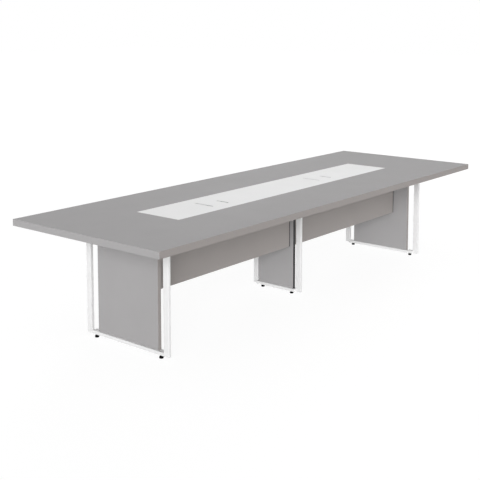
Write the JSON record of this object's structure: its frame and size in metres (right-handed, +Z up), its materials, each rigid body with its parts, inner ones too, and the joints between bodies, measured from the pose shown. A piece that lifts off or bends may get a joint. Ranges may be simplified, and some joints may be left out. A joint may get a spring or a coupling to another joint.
{
  "type": "conference table",
  "caption": "Long rectangular conference table with a grey top, white inset with flip-lid power boxes, and panel legs in white steel frames with levelling feet.",
  "frame": {"origin": "on the floor under the middle of the top", "axes": "+X along the table to its right end, +Y to the back, +Z up"},
  "size_m": [3.6, 1.2, 0.74],
  "materials": {
    "grey_board": "matte melamine board",
    "grey_edge_band": "matte edge band",
    "white_board": "white melamine board",
    "white_steel": "white powder coat",
    "white_plastic": "satin white",
    "zinc_steel": "zinc plated",
    "black_steel": "black powder coat",
    "black_plastic": "matte black",
    "black_foot_plastic": "moulded black"
  },
  "bodies": {
    "table": {"edge_band_left_back": "grey_edge_band", "edge_band_left_end": "grey_edge_band", "edge_band_left_front": "grey_edge_band", "edge_band_right_back": "grey_edge_band", "edge_band_right_end": "grey_edge_band", "edge_band_right_front": "grey_edge_band", "inset_left": "white_board", "inset_right": "white_board", "leg_frame_left": "white_steel", "leg_frame_middle": "white_steel", "leg_frame_right": "white_steel", "leg_panel_left": "grey_board", "leg_panel_middle": "grey_board", "leg_panel_right": "grey_board", "modesty_bracket_left_back_inner": "zinc_steel", "modesty_bracket_left_back_outer": "zinc_steel", "modesty_bracket_left_front_inner": "zinc_steel", "modesty_bracket_left_front_outer": "zinc_steel", "modesty_bracket_right_back_inner": "zinc_steel", "modesty_bracket_right_back_outer": "zinc_steel", "modesty_bracket_right_front_inner": "zinc_steel", "modesty_bracket_right_front_outer": "zinc_steel", "modesty_panel_left_back": "grey_board", "modesty_panel_left_front": "grey_board", "modesty_panel_right_back": "grey_board", "modesty_panel_right_front": "grey_board", "panel_bracket_left_back": "zinc_steel", "panel_bracket_left_front": "zinc_steel", "panel_bracket_middle_left": "zinc_steel", "panel_bracket_middle_right": "zinc_steel", "panel_bracket_right_back": "zinc_steel", "panel_bracket_right_front": "zinc_steel", "power_box_left_bezel": "white_plastic", "power_box_left_data_block": "black_plastic", "power_box_left_narrow_hinge_rod": "zinc_steel", "power_box_left_socket_strip": "black_plastic", "power_box_left_tub": "black_steel", "power_box_left_wide_hinge_rod": "zinc_steel", "power_box_right_bezel": "white_plastic", "power_box_right_data_block": "black_plastic", "power_box_right_narrow_hinge_rod": "zinc_steel", "power_box_right_socket_strip": "black_plastic", "power_box_right_tub": "black_steel", "power_box_right_wide_hinge_rod": "zinc_steel", "seam_plate_back": "zinc_steel", "seam_plate_front": "zinc_steel", "tabletop_left": "grey_board", "tabletop_right": "grey_board"},
    "left_narrow_lid": {"power_box_left_narrow_lid": "white_plastic"},
    "left_wide_lid": {"power_box_left_wide_lid": "white_plastic"},
    "right_narrow_lid": {"power_box_right_narrow_lid": "white_plastic"},
    "right_wide_lid": {"power_box_right_wide_lid": "white_plastic"},
    "foot_left_front": {"foot_left_front": "black_foot_plastic"},
    "foot_left_back": {"foot_left_back": "black_foot_plastic"},
    "foot_middle_front": {"foot_middle_front": "black_foot_plastic"},
    "foot_middle_back": {"foot_middle_back": "black_foot_plastic"},
    "foot_right_front": {"foot_right_front": "black_foot_plastic"},
    "foot_right_back": {"foot_right_back": "black_foot_plastic"}
  },
  "joints": [
    {"name": "left_narrow_lid_hinge", "type": "hinge", "parent": "table", "child": "left_narrow_lid", "pos_m": [-0.644, 0, 0.737], "axis": [0, 1, 0], "range_deg": [0, 100]},
    {"name": "left_wide_lid_hinge", "type": "hinge", "parent": "table", "child": "left_wide_lid", "pos_m": [-0.4202, 0, 0.737], "axis": [0, 1, 0], "range_deg": [0, 100]},
    {"name": "right_narrow_lid_hinge", "type": "hinge", "parent": "table", "child": "right_narrow_lid", "pos_m": [0.548, 0, 0.737], "axis": [0, 1, 0], "range_deg": [0, 100]},
    {"name": "right_wide_lid_hinge", "type": "hinge", "parent": "table", "child": "right_wide_lid", "pos_m": [0.7718, 0, 0.737], "axis": [0, 1, 0], "range_deg": [0, 100]},
    {"name": "foot_left_front_screw", "type": "slide", "parent": "table", "child": "foot_left_front", "axis": [0, 0, -1], "range_m": [0, 0.01]},
    {"name": "foot_left_back_screw", "type": "slide", "parent": "table", "child": "foot_left_back", "axis": [0, 0, -1], "range_m": [0, 0.01]},
    {"name": "foot_middle_front_screw", "type": "slide", "parent": "table", "child": "foot_middle_front", "axis": [0, 0, -1], "range_m": [0, 0.01]},
    {"name": "foot_middle_back_screw", "type": "slide", "parent": "table", "child": "foot_middle_back", "axis": [0, 0, -1], "range_m": [0, 0.01]},
    {"name": "foot_right_front_screw", "type": "slide", "parent": "table", "child": "foot_right_front", "axis": [0, 0, -1], "range_m": [0, 0.01]},
    {"name": "foot_right_back_screw", "type": "slide", "parent": "table", "child": "foot_right_back", "axis": [0, 0, -1], "range_m": [0, 0.01]}
  ]
}
